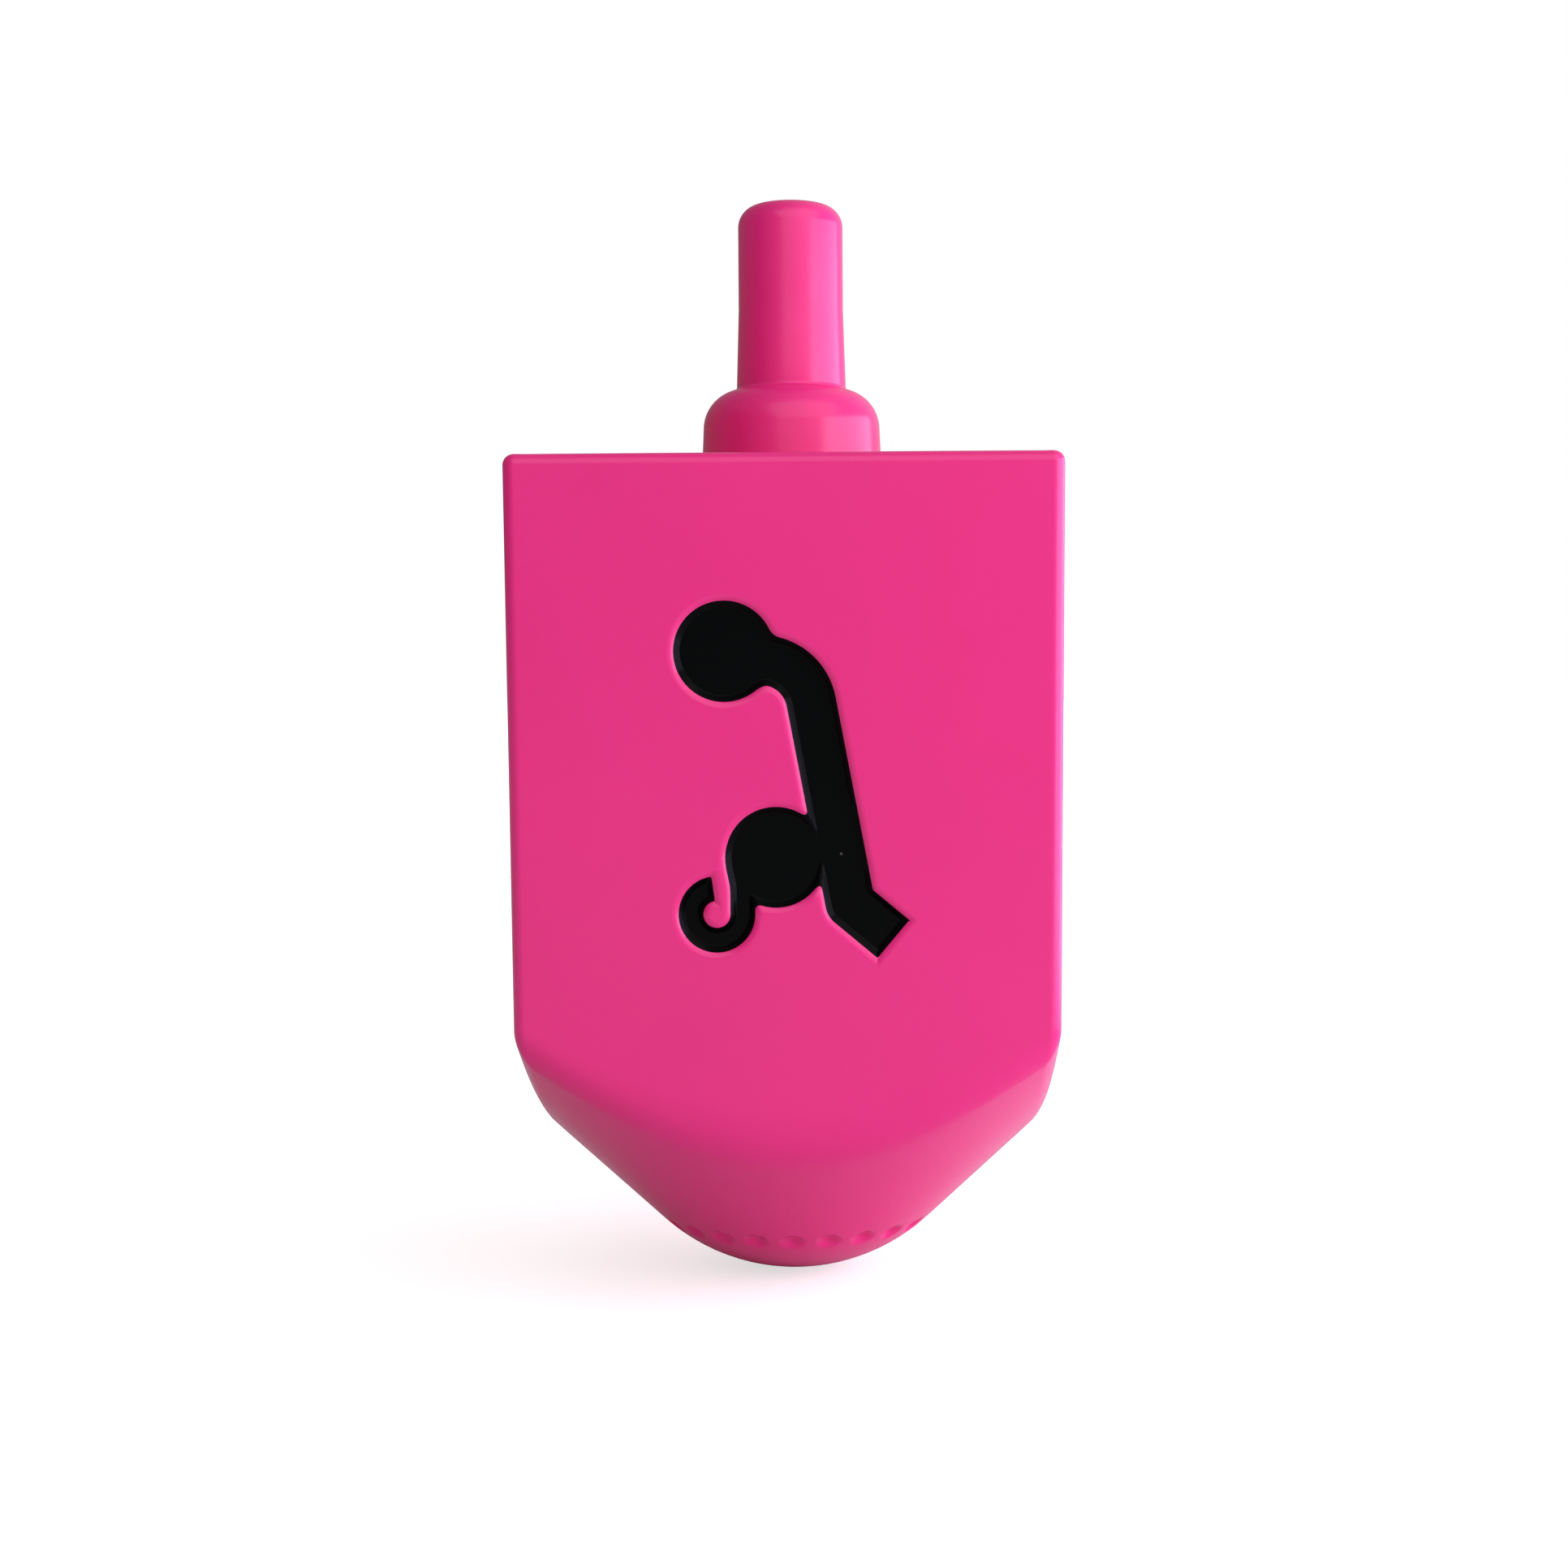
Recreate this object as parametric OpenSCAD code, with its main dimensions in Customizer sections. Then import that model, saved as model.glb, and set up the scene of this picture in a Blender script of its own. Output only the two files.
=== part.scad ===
// Dreidel: a hollow moulded spinning top with a push-in cap, a finger stem
// and four recessed letters. Millimetres, +Z up, origin at the spinning tip.

/* [Body] */
// Width across flats at the top rim
body_w = 35; // [28:0.5:48]
// Height from the spinning tip to the top rim
body_h = 55; // [50:0.2:70]
// Draft of each side, in degrees: the body narrows downwards
body_draft = 0.5; // [0.2:0.1:1.5]
// Wall thickness of the sides and the dome
wall = 1.8; // [1.5:0.1:2.6]
// Radius of the four upright edges
edge_r = 0.8; // [0.4:0.1:1.2]
// Radius along the top rim's outer edge
rim_r = 0.4; // [0.2:0.1:0.6]

/* [Dome and tip] */
// Radius of the rounded spinning tip
tip_r = 13.8; // [10:0.2:16]
// Angle between the dome's side and the axis, in degrees
dome_angle = 46.5; // [42:0.5:50]
// Number of dimples round the tip
dimple_count = 24; // [8:1:26]
// Diameter of one dimple
dimple_d = 1.7; // [1:0.1:1.9]
// Depth of one dimple
dimple_depth = 0.3; // [0.1:0.05:0.5]
// Angle of the dimple ring from the axis, seen from the tip's centre
dimple_ring_angle = 42.5; // [38:0.5:44]
// Turn of the dimple ring about the axis
dimple_phase = 0; // [-7.5:0.5:7.5]

/* [Cap] */
// Thickness of the cap's plate
cap_t = 2; // [1.6:0.1:3]
// Wall left outside the cap's seat at the rim
rim_wall = 0.9; // [0.8:0.05:1.1]
// Corner radius of the cap's plate and its seat
cap_corner_r = 0.8; // [0.5:0.1:1.2]
// Gap round the cap's plate
cap_gap = 0.1; // [0.05:0.01:0.2]
// Height of the skirt below the plate
skirt_h = 6; // [4:0.5:10]
// Thickness of the skirt
skirt_t = 1.2; // [0.9:0.1:1.6]
// Gap between the skirt and the body's wall
skirt_gap = 0.15; // [0.1:0.01:0.3]
// Radius of the grip ribs on the skirt
grip_rib_r = 0.5; // [0.4:0.05:0.8]
// How far a grip rib stands out of the skirt
grip_rib_out = 0.1; // [0.06:0.01:0.1]
// Distance between the two grip ribs on one side
grip_rib_pitch = 16; // [10:1:20]

/* [Stem] */
// Height from the top rim to the stem's end
stem_h = 18.6; // [15:0.2:24]
// Diameter of the stem's grip
stem_d = 7.24; // [6:0.02:8]
// Diameter of the stem where it leaves the collar
stem_root_d = 7.56; // [7:0.02:8.6]
// Length of the straight grip, from the stem's end
grip_h = 7.2; // [5:0.2:9]
// Radius at the stem's end
stem_end_r = 1.5; // [1:0.1:2.6]
// Diameter of the collar at its foot
collar_d = 12.5; // [12:0.1:15]
// Draft of the collar's side, in degrees
collar_draft = 2.5; // [1:0.1:4]
// Height of the collar's straight side
collar_side_h = 3.3; // [2.8:0.1:5]
// Radius of the collar's rounded shoulder
shoulder_r = 2.7; // [2.5:0.05:2.8]

/* [Spigot and socket] */
// Diameter of the spigot that holds the stem in the cap
spigot_d = 7; // [6.4:0.1:7.6]
// Depth of the socket below the cap's plate
socket_h = 8; // [6:0.5:12]
// Wall of the socket
socket_wall = 1.6; // [1.2:0.1:2.2]
// Gap round the spigot
spigot_gap = 0.02; // [0.01:0.01:0.05]
// Chamfer at the spigot's end
spigot_chamfer = 0.6; // [0.3:0.1:0.8]
// Diameter of the moulding core up the stem
core_d = 3.4; // [2.4:0.1:3.6]
// Thickness left above the core at the stem's end
core_cover = 4; // [3:0.5:6]
// Thickness of the ribs that brace the socket
brace_t = 1.2; // [0.8:0.1:1.6]
// Height of the braces below the plate
brace_h = 4; // [2:0.5:5.5]

/* [Letters] */
// Distance from the top rim down to the middle of the letters
letter_drop = 20.4; // [19:0.1:23]
// Depth of the letter pockets
pocket_depth = 0.8; // [0.6:0.05:0.9]
// Thickness of the black filling on the pocket's floor
filling_t = 0.35; // [0.2:0.05:0.45]
// Width of the main strokes
stroke_w = 3.1; // [2.4:0.1:3.4]
// Diameter of the ball ends
ball_d = 6.3; // [5.4:0.1:6.8]
// Diameter of the small ball ends
small_ball_d = 4.4; // [3.6:0.1:4.8]
// Width of the curled tail
tail_w = 1.55; // [1.1:0.05:1.8]
// Lean of the gimel's leg, in degrees
leg_lean = 10.6; // [6:0.1:12]
// Slope of the feet below level, in degrees
foot_slope = 40; // [30:1:50]
// Length of a foot from its knee
foot_len = 3.5; // [2.5:0.1:4.5]

/* [Hidden] */
$fn = 96;

pink = "#E83A8A";
black = "#0A0C0C";

// Room that a cutter takes beyond the face it cuts
over = 1;
// How far a rounding circle and the straight side that it meets cross
bite = 0.002;
// Level of the ledge that the cap's plate rests on
seat_z = body_h - cap_t;
seat_w = body_w - 2 * rim_wall;
plate_w = seat_w - 2 * cap_gap;
// Offset of the skirt's outer and inner faces from the body's sides
skirt_out = wall + skirt_gap;
skirt_in = skirt_out + skirt_t;
skirt_z = seat_z - skirt_h;
socket_d = spigot_d + 2 * spigot_gap + 2 * socket_wall;

// The sides of the square, as turns about Z from the front
front = 0;
right = 90;
back = 180;
left = 270;

// Radius of the ball that cuts one dimple, from its width and depth
dimple_ball_r = (pow(dimple_d / 2, 2) + pow(dimple_depth, 2)) / (2 * dimple_depth);

// Middle radius of the strokes' round bends
bend_r = 3.2;
curl_r = 1.62;
// Gimel: head, neck bend, lower ball and curl, from the letter's middle
gimel_head = [-3.77, 8.05];
gimel_neck = [-1.5, 4.3];
gimel_leg_len = 12.8;
gimel_ball = [-0.62, -4.8];
gimel_curl = [-4.32, -8.35];
curl_end = 98;
// Nun: head, neck bend and base
nun_head = [-2.6, 8.05];
nun_neck = [-0.4, 4.3];
nun_heel = [-0.4, -6.5];
nun_base_len = 4.8;
// Hei: roof, right leg and the short left leg
hei_head = [-4.2, 8.05];
hei_roof_y = 8.4;
hei_shoulder = [1.6, 5.2];
hei_knee_y = -7.4;
hei_short_leg = [-4.4, 1.2];
// Shin: three arms on a round base
shin_base = [0, -4.5];
shin_r = 5.2;
shin_arm_y = 9;
shin_mid_foot = [-0.9, -9];

// Half the body's width at a height
function half_at(z) = body_w / 2 - (body_h - z) * tan(body_draft);
// A point on a circle
function on_circle(c, r, a) = [c.x + r * cos(a), c.y + r * sin(a)];

// Square with rounded corners, centred
module rounded_square(w, r) {
    square([w - 2 * r, w], center = true);
    square([w, w - 2 * r], center = true);
    for (x = [-1, 1], y = [-1, 1]) translate([x, y] * (w / 2 - r)) circle(r);
}

// One drafted side profile, set in from the body's sides
module side_profile(inset, z0, z1) {
    h0 = half_at(z0) - inset;
    h1 = half_at(z1) - inset;
    polygon([[-h0, z0], [h0, z0], [h1, z1], [-h1, z1]]);
}

// Square prism with the body's draft between two heights
module drafted_prism(inset, z0, z1) {
    intersection_for (turn = [front, right])
        rotate([0, 0, turn]) rotate([90, 0, 0])
            linear_extrude(2 * body_w, center = true) side_profile(inset, z0, z1);
}

// Half section of the dome, set in from its surface
module dome_section(inset) {
    r = tip_r - inset;
    side = r - bite;
    foot = [side * cos(dome_angle), tip_r - side * sin(dome_angle)];
    reach = body_h - foot.y + over;
    intersection() {
        translate([0, tip_r]) circle(r);
        square([r, tip_r]);
    }
    polygon([
        [0, foot.y], foot,
        foot + reach * [tan(dome_angle), 1], [0, foot.y + reach]
    ]);
}

// The prism or cavity given as child, cut to the dome's form
module domed(inset) {
    intersection() {
        rotate_extrude() dome_section(inset);
        children();
    }
}

// Cutter that rounds one upright edge, along the drafted edge itself
module edge_cutter() {
    lean = atan(sqrt(2) * tan(body_draft));
    half = acos(pow(sin(body_draft), 2)) / 2;
    reach = 2 * edge_r;
    inner = half_at(body_h) - edge_r / cos(body_draft);
    translate([inner, -inner, body_h]) rotate([0, lean, -45])
        translate([0, 0, -body_h - 2 * over]) linear_extrude(body_h + 4 * over)
            difference() {
                polygon([
                    [0, 0], reach * [cos(half), sin(half)],
                    [2 * reach, 0], reach * [cos(half), -sin(half)]
                ]);
                circle(edge_r + bite);
            }
}

// Cutter that rounds the rim along the front side
module rim_cutter() {
    reach = 2 * rim_r;
    inner = half_at(body_h - rim_r) - rim_r / cos(body_draft);
    translate([0, -inner, body_h - rim_r]) rotate([90, 0, -90])
        linear_extrude(body_w + 2 * over, center = true)
            difference() {
                polygon([
                    [0, 0], reach * [cos(body_draft), -sin(body_draft)],
                    [reach, reach], [0, reach]
                ]);
                circle(rim_r + bite);
            }
}

// The body's square prism with its upright edges and rim rounded
module rounded_prism() {
    difference() {
        drafted_prism(0, -over, body_h);
        for (turn = [front, right, back, left]) rotate([0, 0, turn]) {
            edge_cutter();
            rim_cutter();
        }
    }
}

// Places a letter's plane on one side: x to the right, y up, z outwards
module on_side(turn) {
    rotate([0, 0, turn]) translate([0, -body_w / 2, body_h]) rotate([90 + body_draft, 0, 0])
        translate([0, -letter_drop, 0]) children();
}

// Ring of shallow dimples round the tip
module dimple_cutters() {
    for (i = [0 : dimple_count - 1])
        rotate([0, 0, dimple_phase - 90 + i * 360 / dimple_count])
            translate([0, 0, tip_r]) rotate([0, 180 - dimple_ring_angle, 0])
                translate([0, 0, tip_r + dimple_ball_r - dimple_depth]) sphere(dimple_ball_r);
}

// Straight stroke between two points
module bar(a, b, w) {
    run = b - a;
    translate(a) rotate(atan2(run.y, run.x)) translate([0, -w / 2]) square([norm(run), w]);
}

// Ball end of a stroke
module ball(c, d) {
    translate(c) circle(d = d);
}

// Round bend of a stroke, from one angle to another
module bend(c, r, w, a0, a1) {
    reach = 2 * (r + w);
    steps = ceil((a1 - a0) / 45);
    translate(c) intersection() {
        difference() {
            circle(r + w / 2);
            circle(r - w / 2);
        }
        polygon([[0, 0], for (i = [0 : steps]) on_circle([0, 0], reach, a0 + (a1 - a0) * i / steps)]);
    }
}

// Leg that ends in a sloping foot, with a round knee, in a frame that leans
module leg_and_foot(hip, knee, lean = 0) {
    bar(hip, knee, stroke_w);
    ball(knee, stroke_w + 2 * bite);
    bar(knee, on_circle(knee, foot_len, -foot_slope - lean), stroke_w);
}

module gimel() {
    ball(gimel_head, ball_d);
    translate(gimel_neck) rotate(leg_lean) {
        bend([0, 0], bend_r, stroke_w, 0, 95 - leg_lean);
        leg_and_foot([bend_r, 0], [bend_r, -gimel_leg_len], leg_lean);
    }
    ball(gimel_ball, ball_d);
    bar([gimel_curl.x + curl_r, gimel_ball.y], [gimel_curl.x + curl_r, gimel_curl.y], tail_w);
    bend(gimel_curl, curl_r, tail_w, curl_end, 360);
}

module nun() {
    ball(nun_head, ball_d);
    bend(nun_neck, bend_r, stroke_w, 0, 95);
    bar(on_circle(nun_neck, bend_r, 0), on_circle(nun_heel, bend_r, 0), stroke_w);
    bend(nun_heel, bend_r, stroke_w, 270, 360);
    bar(on_circle(nun_heel, bend_r, 270), on_circle(nun_heel, bend_r, 270) - [nun_base_len, 0], stroke_w);
}

module hei() {
    hip = on_circle(hei_shoulder, bend_r, 0);
    ball(hei_head, ball_d);
    bar([hei_head.x, hei_roof_y], [hei_shoulder.x, hei_roof_y], stroke_w);
    bend(hei_shoulder, bend_r, stroke_w, 0, 90);
    leg_and_foot(hip, [hip.x, hei_knee_y]);
    ball(hei_short_leg, small_ball_d);
    bar(hei_short_leg, [hei_short_leg.x, hei_knee_y], stroke_w);
    ball([hei_short_leg.x, hei_knee_y], stroke_w);
}

module shin() {
    bend(shin_base, shin_r, stroke_w, 180, 360);
    for (side = [-1, 1]) {
        foot = shin_base + [side * shin_r, 0];
        bar([foot.x, shin_arm_y], foot, stroke_w);
        ball([foot.x, shin_arm_y], small_ball_d);
    }
    bar([0, shin_arm_y], shin_mid_foot, stroke_w);
    ball([0, shin_arm_y], small_ball_d);
}

// Pocket cutter for the letter given as child
module pocket(turn) {
    on_side(turn) translate([0, 0, -pocket_depth]) linear_extrude(pocket_depth + over) children();
}

// Black filling on the floor of a pocket
module filling(turn) {
    color(black) on_side(turn) translate([0, 0, -pocket_depth]) linear_extrude(filling_t) children();
}

// Square cup with a conical dome, letter pockets and a seat for the cap
module body_shell() {
    color(pink) difference() {
        domed(0) rounded_prism();
        domed(wall) drafted_prism(wall, -over, body_h + over);
        translate([0, 0, seat_z]) linear_extrude(cap_t + over) rounded_square(seat_w, cap_corner_r);
        dimple_cutters();
        pocket(front) gimel();
        pocket(right) nun();
        pocket(back) shin();
        pocket(left) hei();
    }
}

// Two ribs that grip the body's wall, on the front face of the skirt
module grip_ribs() {
    for (x = [-1, 1] * grip_rib_pitch / 2)
        translate([x, -half_at(skirt_z) + skirt_out - grip_rib_out + grip_rib_r, skirt_z])
            cylinder(h = skirt_h, r = grip_rib_r);
}

// Plate that closes the cup, with its skirt, socket and braces
module top_cap() {
    brace_len = half_at(seat_z) - skirt_in + skirt_t / 2;
    color(pink) difference() {
        union() {
            translate([0, 0, seat_z]) linear_extrude(cap_t) rounded_square(plate_w, cap_corner_r);
            difference() {
                union() {
                    drafted_prism(skirt_out, skirt_z, seat_z);
                    for (turn = [front, right, back, left]) rotate([0, 0, turn]) grip_ribs();
                }
                drafted_prism(skirt_in, skirt_z - over, seat_z);
            }
            translate([0, 0, seat_z - socket_h]) cylinder(h = socket_h, d = socket_d);
            for (turn = [front, right])
                rotate([0, 0, turn])
                    translate([-brace_len, -brace_t / 2, seat_z - brace_h])
                        cube([2 * brace_len, brace_t, brace_h]);
        }
        translate([0, 0, seat_z - socket_h - over])
            cylinder(h = socket_h + cap_t + 2 * over, d = spigot_d + 2 * spigot_gap);
    }
}

// Half section of the stem, its collar and its spigot, from the rim's level
module stem_section() {
    spigot_h = socket_h + cap_t;
    collar_r = collar_d / 2;
    side_r = collar_r - collar_side_h * tan(collar_draft);
    shoulder = [side_r - shoulder_r * cos(collar_draft), collar_side_h - shoulder_r * sin(collar_draft)];
    root_z = shoulder.y + sqrt(pow(shoulder_r, 2) - pow(stem_root_d / 2 - shoulder.x, 2));
    grip_z = stem_h - grip_h;
    end_r = stem_d / 2 - stem_end_r;
    polygon([
        [0, -spigot_h], [spigot_d / 2 - spigot_chamfer, -spigot_h],
        [spigot_d / 2, spigot_chamfer - spigot_h], [spigot_d / 2, 0], [0, 0]
    ]);
    polygon([
        [0, 0], [collar_r, 0], [side_r, collar_side_h],
        [shoulder.x, collar_side_h], [0, collar_side_h]
    ]);
    intersection() {
        translate(shoulder) circle(shoulder_r);
        translate([shoulder.x, collar_side_h]) square(2 * shoulder_r);
    }
    polygon([
        [0, 0], [stem_root_d / 2, 0], [stem_root_d / 2, root_z], [stem_d / 2, grip_z],
        [stem_d / 2, stem_h - stem_end_r], [0, stem_h - stem_end_r]
    ]);
    translate([0, stem_h - stem_end_r]) square([end_r, stem_end_r]);
    intersection() {
        translate([end_r, stem_h - stem_end_r]) circle(stem_end_r);
        translate([end_r, stem_h - stem_end_r]) square(2 * stem_end_r);
    }
}

// Finger stem with its collar, and the spigot that sits in the cap
module stem() {
    color(pink) translate([0, 0, body_h]) difference() {
        rotate_extrude() stem_section();
        translate([0, 0, -socket_h - cap_t - over])
            cylinder(h = socket_h + cap_t + over + stem_h - core_cover, d = core_d);
    }
}

module letter_nun() { filling(right) nun(); }

module letter_gimel() { filling(front) gimel(); }

module letter_hei() { filling(left) hei(); }

module letter_shin() { filling(back) shin(); }

body_shell();
top_cap();
stem();
letter_nun();
letter_gimel();
letter_hei();
letter_shin();
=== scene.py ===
import math

import bpy
import numpy as np
from mathutils import Matrix, Vector, geometry


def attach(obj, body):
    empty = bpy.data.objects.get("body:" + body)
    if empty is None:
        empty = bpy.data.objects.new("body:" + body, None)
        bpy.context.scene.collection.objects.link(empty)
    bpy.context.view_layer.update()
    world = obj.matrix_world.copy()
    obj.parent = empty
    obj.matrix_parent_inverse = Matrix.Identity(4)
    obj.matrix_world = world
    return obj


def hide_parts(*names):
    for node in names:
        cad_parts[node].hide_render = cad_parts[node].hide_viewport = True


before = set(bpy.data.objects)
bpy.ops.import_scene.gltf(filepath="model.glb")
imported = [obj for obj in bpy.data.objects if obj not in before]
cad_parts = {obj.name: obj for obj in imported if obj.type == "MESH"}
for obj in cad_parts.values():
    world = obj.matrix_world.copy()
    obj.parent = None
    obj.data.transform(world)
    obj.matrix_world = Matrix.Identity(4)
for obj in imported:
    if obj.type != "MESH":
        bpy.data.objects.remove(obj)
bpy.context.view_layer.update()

mm = 0.001  # every form below is worked out in millimetres
deg = math.pi / 180
print("frame loaded,", len(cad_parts), "solids")


# Shapes as distance fields: negative inside, positive outside

def roundedJoin(a, b, r):  # two faces that meet in an edge of radius r
    return np.minimum(np.maximum(a, b), -r) + np.hypot(np.maximum(a + r, 0), np.maximum(b + r, 0))


def easedUnion(a, b, k):  # two outlines run together, their inner corners eased
    h = np.maximum(k - np.abs(a - b), 0) / k
    return np.minimum(a, b) - h * h * k / 4


def slopeOf(field, p, step=0.004, least=1e-12):  # outward direction of a field
    g = np.stack([field(p + step * e) - field(p - step * e) for e in np.eye(p.shape[-1])], -1)
    return g / np.maximum(np.linalg.norm(g, axis=-1, keepdims=True), least)


def reachSurface(field, start, heading, reach=60.0, halvings=40):  # rays from inside out to the surface
    near = np.zeros(start.shape[:-1])
    far = np.full(start.shape[:-1], reach)
    for _ in range(halvings):
        middle = (near + far) / 2
        inside = field(start + middle[..., None] * heading) < 0
        near, far = np.where(inside, middle, near), np.where(inside, far, middle)
    return start + far[..., None] * heading


# Meshes from rows of points round the axis, each row with its normals below and above

cornerColumns = {"half": 2.6, "clear": 2.8, "count": 21}  # degrees each side of a corner, and columns there


def columnTurns(count, phase=0.0):  # even columns, closer together at the four corners
    even = (phase + np.arange(count) * 360 / count) % 360
    even = even[np.abs(even % 90 - 45) > cornerColumns["clear"]]
    fan = np.linspace(-cornerColumns["half"], cornerColumns["half"], cornerColumns["count"])
    return np.sort(np.concatenate([even] + [45 + 90 * k + fan for k in range(4)]))


def outwardOf(turns):
    return np.stack([np.cos(turns * deg), np.sin(turns * deg)], -1)


def withHeight(flat, z):
    return np.concatenate([flat, np.broadcast_to(np.asarray(z, float), (len(flat),))[:, None]], 1)


def ringRow(base, out, offset, z, below, above=None):  # normals as (outward, up)
    above = below if above is None else above
    return (withHeight(base + out * offset, z), withHeight(out * below[0], below[1]),
            withHeight(out * above[0], above[1]))


def arcRows(base, out, middle, z, radius, first, last, steps, hollow=False):  # rounded edge or fillet
    side = -1 if hollow else 1
    rows = []
    for a in np.linspace(first, last, steps) * deg:
        rows.append(ringRow(base, out, middle + radius * math.cos(a), z + radius * math.sin(a),
                            (side * math.cos(a), side * math.sin(a))))
    return rows


def skin(rows, startPole=None, endPole=None, closed=False, holes=None):  # rows joined by quads, ends by fans
    count = len(rows[0][0])
    points = [row[0] for row in rows]
    faces, normals = [], []
    j = np.arange(count)
    n = (j + 1) % count
    for i in range(len(rows) if closed else len(rows) - 1):
        k = (i + 1) % len(rows)
        keep = np.ones(count, bool) if holes is None else ~holes[i]
        quads = np.stack([i * count + j, i * count + n, k * count + n, k * count + j], 1)
        lower, upper = rows[i][2], rows[k][1]
        faces += quads[keep].tolist()
        normals.append(np.stack([lower[j], lower[n], upper[n], upper[j]], 1)[keep].reshape(-1, 3))
    total = len(rows) * count
    if startPole is not None:
        points.append(np.array([startPole[0]], float))
        faces += np.stack([np.full(count, total), n, j], 1).tolist()
        pole = np.broadcast_to(np.array(startPole[1], float), (count, 3))
        normals.append(np.stack([pole, rows[0][1][n], rows[0][1][j]], 1).reshape(-1, 3))
        total += 1
    if endPole is not None:
        first = (len(rows) - 1) * count
        points.append(np.array([endPole[0]], float))
        faces += np.stack([first + j, first + n, np.full(count, total)], 1).tolist()
        pole = np.broadcast_to(np.array(endPole[1], float), (count, 3))
        normals.append(np.stack([rows[-1][2][j], rows[-1][2][n], pole], 1).reshape(-1, 3))
    return np.concatenate(points), faces, np.concatenate(normals)


def joined(parts):  # several skins as one
    points, faces, normals, first = [], [], [], 0
    for p, f, n in parts:
        points.append(p)
        faces += [[first + v for v in face] for face in f]
        normals.append(n)
        first += len(p)
    return np.concatenate(points), faces, np.concatenate(normals)


def compacted(points, faces):  # only the points that some face uses
    used = np.zeros(len(points), bool)
    used[np.concatenate([np.array(face) for face in faces])] = True
    renumber = np.cumsum(used) - 1
    return points[used], [[int(renumber[v]) for v in face] for face in faces]


def makePiece(name, shape, material, body, slot, *stoodFor):
    points, faces, normals = shape
    mesh = bpy.data.meshes.new(name)
    mesh.from_pydata((points * mm).tolist(), [], faces)
    mesh.polygons.foreach_set("use_smooth", [True] * len(faces))
    mesh.normals_split_custom_set(normals.tolist())
    mesh.materials.append(material)
    piece = bpy.data.objects.new(name, mesh)
    bpy.context.scene.collection.objects.link(piece)
    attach(piece, body)
    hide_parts(*stoodFor)
    print("made", name, len(points), "points")


# Finishes

def nodeSet(tree):  # ways to fill an emptied tree: any node, a link, a sum, a change of range
    tree.nodes.clear()
    link = tree.links.new

    def add(kind, **values):
        node = tree.nodes.new(kind)
        for key, value in values.items():
            if hasattr(node, key):
                setattr(node, key, value)
            else:
                node.inputs[key.replace("_", " ")].default_value = value
        return node

    def work(operation, *terms, clamp=False):  # each term is a socket or a plain number
        node = add("ShaderNodeMath", operation=operation, use_clamp=clamp)
        for place, term in zip(node.inputs, terms):
            if isinstance(term, float):
                place.default_value = term
            else:
                link(term, place)
        return node.outputs["Value"]

    def ranged(value, before, after, kind="LINEAR"):  # a value carried from one range to another
        node = add("ShaderNodeMapRange", interpolation_type=kind)
        for key, number in zip(("From Min", "From Max", "To Min", "To Max"), (*before, *after)):
            node.inputs[key].default_value = number
        link(value, node.inputs["Value"])
        return node.outputs["Result"]

    return add, link, work, ranged


surfaceForm = {  # the scales count cells in a metre
    "cloud": {"Scale": 55.0, "Detail": 3.0, "Roughness": 0.55},
    "fine": {"Scale": 2600.0, "Detail": 2.0, "Roughness": 0.6},
    "wave": {"Scale": 160.0, "Detail": 1.0, "Roughness": 0.4},
    "cloudRange": (0.25, 0.75), "shadeRange": (-0.5, 0.5),
    "speckScale": 900.0, "speckSize": 0.085, "speckShare": 0.12,
}


def mouldedSurface():  # cloudy colour, uneven gloss, fine grain and dust, shared by all finishes
    group = bpy.data.node_groups.new("mouldedSurface", "ShaderNodeTree")
    group.interface.new_socket("Color", in_out="INPUT", socket_type="NodeSocketColor")
    for name in ("Cloud", "Gloss", "Patchy", "Grain", "Specks"):
        group.interface.new_socket(name, in_out="INPUT", socket_type="NodeSocketFloat")
    group.interface.new_socket("Color", in_out="OUTPUT", socket_type="NodeSocketColor")
    for name in ("Roughness", "Height"):
        group.interface.new_socket(name, in_out="OUTPUT", socket_type="NodeSocketFloat")
    add, link, work, ranged = nodeSet(group)
    given, made = add("NodeGroupInput").outputs, add("NodeGroupOutput").inputs
    place = add("ShaderNodeTexCoord").outputs["Object"]
    noise = {}
    for name in ("cloud", "fine", "wave"):
        texture = add("ShaderNodeTexNoise", **surfaceForm[name])
        link(place, texture.inputs["Vector"])
        noise[name] = texture.outputs["Fac"]
    shade = ranged(noise["cloud"], surfaceForm["cloudRange"], surfaceForm["shadeRange"])
    tint = add("ShaderNodeVectorMath", operation="SCALE")
    link(given["Color"], tint.inputs[0])
    link(work("MULTIPLY_ADD", shade, given["Cloud"], 1.0), tint.inputs["Scale"])
    cells = add("ShaderNodeTexVoronoi", Scale=surfaceForm["speckScale"])  # specks, small and far apart
    link(place, cells.inputs["Vector"])
    picked = add("ShaderNodeSeparateColor")
    link(cells.outputs["Color"], picked.inputs["Color"])
    dot = work("LESS_THAN", cells.outputs["Distance"], surfaceForm["speckSize"])
    few = work("LESS_THAN", picked.outputs["Red"], surfaceForm["speckShare"])
    dusted = add("ShaderNodeVectorMath", operation="ADD")
    link(tint.outputs["Vector"], dusted.inputs[0])
    link(work("MULTIPLY", work("MULTIPLY", dot, few), given["Specks"]), dusted.inputs[1])
    link(dusted.outputs["Vector"], made["Color"])
    link(work("MULTIPLY_ADD", shade, given["Patchy"], given["Gloss"], clamp=True), made["Roughness"])
    link(work("ADD", work("MULTIPLY", noise["fine"], given["Grain"]), noise["wave"]), made["Height"])
    return group


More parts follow.
